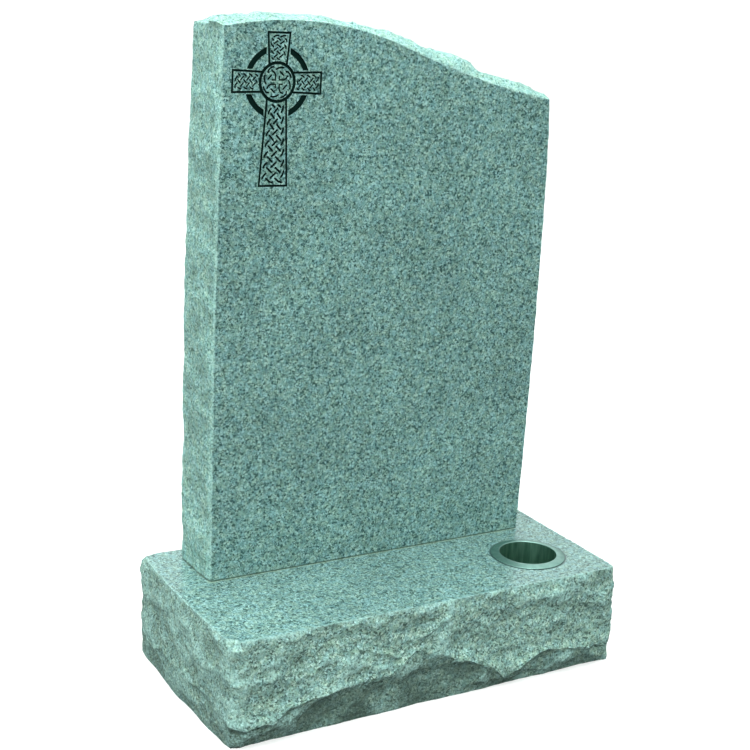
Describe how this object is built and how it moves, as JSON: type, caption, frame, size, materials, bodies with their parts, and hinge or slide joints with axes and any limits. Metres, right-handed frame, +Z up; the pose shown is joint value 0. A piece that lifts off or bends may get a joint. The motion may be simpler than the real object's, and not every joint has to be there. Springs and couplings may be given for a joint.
{
  "type": "granite headstone",
  "caption": "Granite headstone with a half-ogee top, a Celtic cross cut into its face, and a rock-pitched base with a lift-out flower container.",
  "frame": {"origin": "middle of the base's underside, on the ground", "axes": "+Z up; the polished face with the cross looks along -Y; +X to the right as seen from the front"},
  "size_m": [0.758, 0.391, 1.0838],
  "materials": {
    "tablet_granite": "fine grey-green granite: polished face, rock-pitched sides and top, sandblasted cross painted black",
    "base_granite": "the same granite: polished top, rock-pitched sides",
    "container_metal": "spun metal, satin"
  },
  "bodies": {
    "root": {"tablet": "tablet_granite", "base": "base_granite", "flower_container": "container_metal"}
  },
  "joints": []
}
